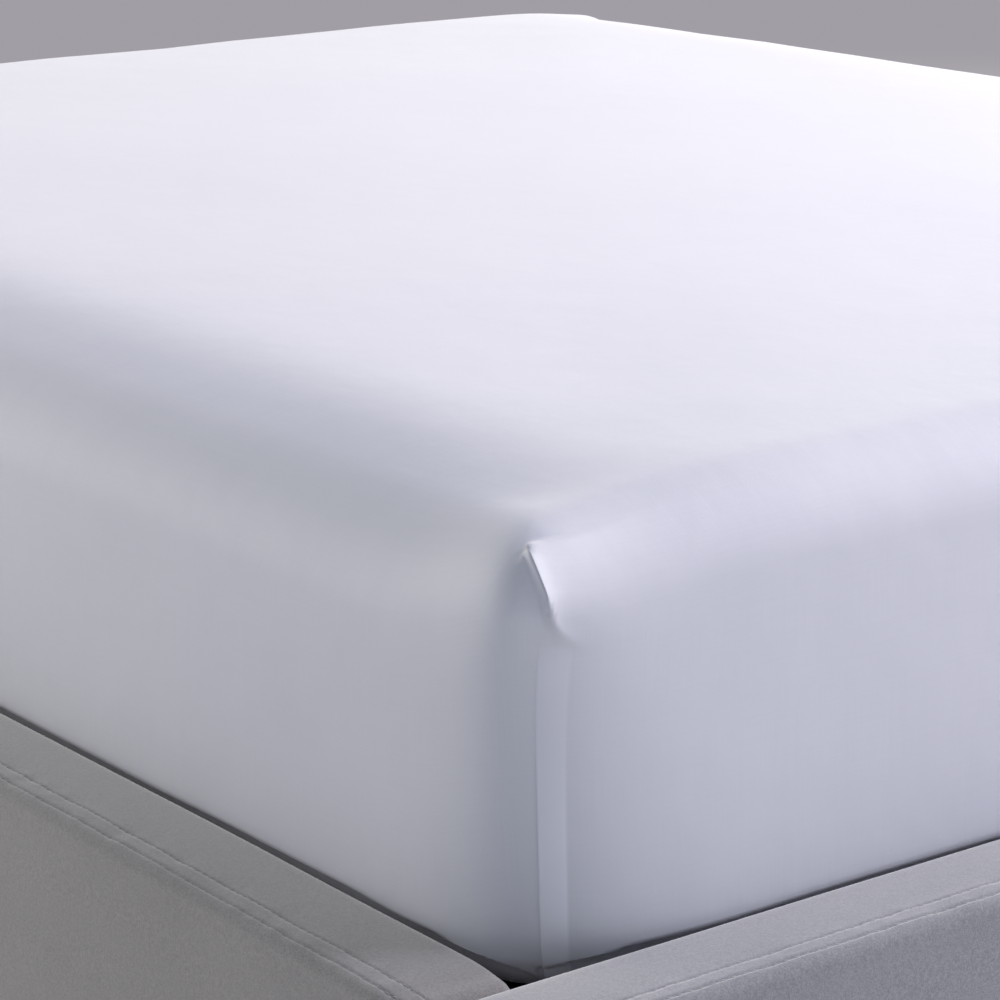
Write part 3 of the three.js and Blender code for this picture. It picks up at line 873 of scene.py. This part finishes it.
def build_stitches(rail):
    """The two rows of stitches that hold the welt, each a short thread dipping into the felt."""
    ends = RAIL_END_ROUND + 6 * MM
    places = np.arange(ends, rail.length - ends, STITCH_PITCH)
    along = np.linspace(-0.5, 0.5, 5)
    sunk = np.array([1.1, 0.1, 0, 0.1, 1.1]) * MM
    turns = np.linspace(0, 2 * math.pi, THREAD_SIDES, endpoint=False)
    points, faces = [], []
    for line in (WELT_INNER, WELT_OUTER):
        outline = np.array([(line, rail.height, 0.0, 1.0)])
        for place in places:
            a, z = rail_surface(rail, outline, place)
            base = len(points) * THREAD_SIDES
            for share, low in zip(along, sunk):
                ring_a = a + THREAD * np.cos(turns)
                ring_z = z + THREAD * (0.6 + np.sin(turns)) - low
                points.append(rail.world(ring_a, np.full(THREAD_SIDES, place + share * STITCH), ring_z))
            for n in range(len(along) - 1):
                for k in range(THREAD_SIDES):
                    m = (k + 1) % THREAD_SIDES
                    row, after = base + n * THREAD_SIDES, base + (n + 1) * THREAD_SIDES
                    faces.append([row + k, after + k, after + m, row + m])
            last = base + (len(along) - 1) * THREAD_SIDES
            faces.append([base + k for k in range(THREAD_SIDES)])
            faces.append([last + k for k in reversed(range(THREAD_SIDES))])
    if not rail.faces_out():
        faces = [face[::-1] for face in faces]
    return new_object(rail.node_name + "_stitches", np.concatenate(points), faces, thread_finish)


inner_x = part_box("rail_right")[0].x
inner_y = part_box("rail_head")[0].y
rails = [
    Rail("rail_left", inner_x, (-1, 0, 0), (0, 1, 0), 1),
    Rail("rail_right", inner_x, (1, 0, 0), (0, 1, 0), 2),
    Rail("rail_foot", inner_y, (0, -1, 0), (1, 0, 0), 3),
    Rail("rail_head", inner_y, (0, 1, 0), (1, 0, 0), 4),
]
covers = [build_rail(rail) for rail in rails]
stitches = [build_stitches(rail) for rail in rails]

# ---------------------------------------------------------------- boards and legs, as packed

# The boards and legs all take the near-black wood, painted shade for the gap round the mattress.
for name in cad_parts:
    if name.startswith(("deck", "batten", "centre_beam", "beam_leg")):
        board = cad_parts[name]
        board.data.materials.clear()
        board.data.materials.append(wood_painted_shade)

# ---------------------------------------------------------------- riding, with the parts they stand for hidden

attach(protector, "root")
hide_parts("protector")

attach(mattress, "root")
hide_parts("mattress")

for rail, cover, thread in zip(rails, covers, stitches):
    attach(cover, "root")
    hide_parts(rail.node_name)
    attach(thread, "root")

# ---------------------------------------------------------------- floor, light and camera

FLOOR_RADIUS = 6.0
FLOOR_SIDES = 64
FLOOR_LEVEL = -0.5 * MM
FLOOR_FADE = (3.5, 5.5)
FLOOR_PALE = (0.74, 0.74, 0.75)
# The lamps are soft boxes: a name, where it stands, its watts and its colour.
LAMPS = [
    ("low_right", (5.1, -0.3, 1.6), 322, (1.0, 0.94, 0.8)),
    ("low_far_left", (-2.26, 3.09, 1.28), 83, (1.0, 0.93, 0.84)),
    ("high_right", (2.54, -1.94, 2.74), 132, (0.92, 0.87, 1.0)),
]
BACKDROP = (0.36, 0.34, 0.375)
AMBIENT = (0.8, 0.87, 1.0)
AMBIENT_STRENGTH = 0.338
SOFTBOX_SIZE = (3.2, 2.4)
LIT_POINT = Vector((-0.3, -0.3, 0.45))


def floor_material():
    """A plain pale floor that fades into the backdrop all round."""
    material, shader = principled("floor", FLOOR_PALE, 0.8, 0.2)
    tree = material.node_tree
    place = node(material, "ShaderNodeTexCoord").outputs["Object"]
    far = node(material, "ShaderNodeVectorMath", {0: place}, operation="LENGTH").outputs["Value"]
    fade = node(
        material,
        "ShaderNodeMapRange",
        {"Value": far, "From Min": FLOOR_FADE[0], "From Max": FLOOR_FADE[1]},
        interpolation_type="SMOOTHSTEP",
    )
    clear = node(material, "ShaderNodeBsdfTransparent")
    ends = {1: shader.outputs[0], 2: clear.outputs[0]}
    mix = node(material, "ShaderNodeMixShader", {0: fade.outputs[0], **ends})
    tree.links.new(mix.outputs[0], tree.nodes["Material Output"].inputs["Surface"])
    return material


def build_floor():
    turns = np.linspace(0, 2 * math.pi, FLOOR_SIDES, endpoint=False)
    points = [(FLOOR_RADIUS * math.cos(t), FLOOR_RADIUS * math.sin(t), FLOOR_LEVEL) for t in turns]
    floor = new_object("floor", points, [list(range(FLOOR_SIDES))], floor_material())


def build_world():
    world = bpy.data.worlds.new("studio")
    bpy.context.scene.world = world
    world.use_nodes = True
    tree = world.node_tree
    light = tree.nodes["Background"]
    light.inputs["Color"].default_value = (*AMBIENT, 1)
    light.inputs["Strength"].default_value = AMBIENT_STRENGTH
    backdrop = tree.nodes.new("ShaderNodeBackground")
    backdrop.inputs["Color"].default_value = (*BACKDROP, 1)
    path = tree.nodes.new("ShaderNodeLightPath")
    seen = tree.nodes.new("ShaderNodeMath")
    seen.operation = "MAXIMUM"
    tree.links.new(path.outputs["Is Camera Ray"], seen.inputs[0])
    tree.links.new(path.outputs["Is Transmission Ray"], seen.inputs[1])
    mirrored = tree.nodes.new("ShaderNodeMath")
    mirrored.operation = "MAXIMUM"
    tree.links.new(seen.outputs[0], mirrored.inputs[0])
    tree.links.new(path.outputs["Is Glossy Ray"], mirrored.inputs[1])
    mix = tree.nodes.new("ShaderNodeMixShader")
    tree.links.new(mirrored.outputs[0], mix.inputs[0])
    tree.links.new(light.outputs[0], mix.inputs[1])
    tree.links.new(backdrop.outputs[0], mix.inputs[2])
    tree.links.new(mix.outputs[0], tree.nodes["World Output"].inputs["Surface"])


def softbox(name, place, watts, colour):
    data = bpy.data.lights.new(name, "AREA")
    data.shape = "RECTANGLE"
    data.size, data.size_y = SOFTBOX_SIZE
    data.energy = watts
    data.color = colour
    lamp = bpy.data.objects.new(name, data)
    lamp.location = place
    lamp.rotation_euler = (LIT_POINT - Vector(place)).to_track_quat("-Z", "Y").to_euler()
    lamp.visible_camera = False
    bpy.context.scene.collection.objects.link(lamp)


EYE = Vector((-1.8857, -2.4684, 1.0914))
HEADING = math.radians(53.884)
TILT = math.radians(14.941)
ROLL = math.radians(0.767)
LENS = 121.89


def build_camera():
    ahead = math.cos(TILT)
    forward = Vector((ahead * math.cos(HEADING), ahead * math.sin(HEADING), -math.sin(TILT)))
    level = Vector((math.sin(HEADING), -math.cos(HEADING), 0))
    below = forward.cross(level)
    right = level * math.cos(ROLL) + below * math.sin(ROLL)
    down = below * math.cos(ROLL) - level * math.sin(ROLL)
    axes = Matrix((right, -down, -forward)).transposed()
    data = bpy.data.cameras.new("camera")
    data.lens = LENS
    camera = bpy.data.objects.new("camera", data)
    camera.matrix_world = Matrix.Translation(EYE) @ axes.to_4x4()
    bpy.context.scene.collection.objects.link(camera)
    bpy.context.scene.camera = camera


build_floor()
build_world()
for lamp in LAMPS:
    softbox(*lamp)
build_camera()
bpy.context.scene.view_settings.view_transform = "Standard"
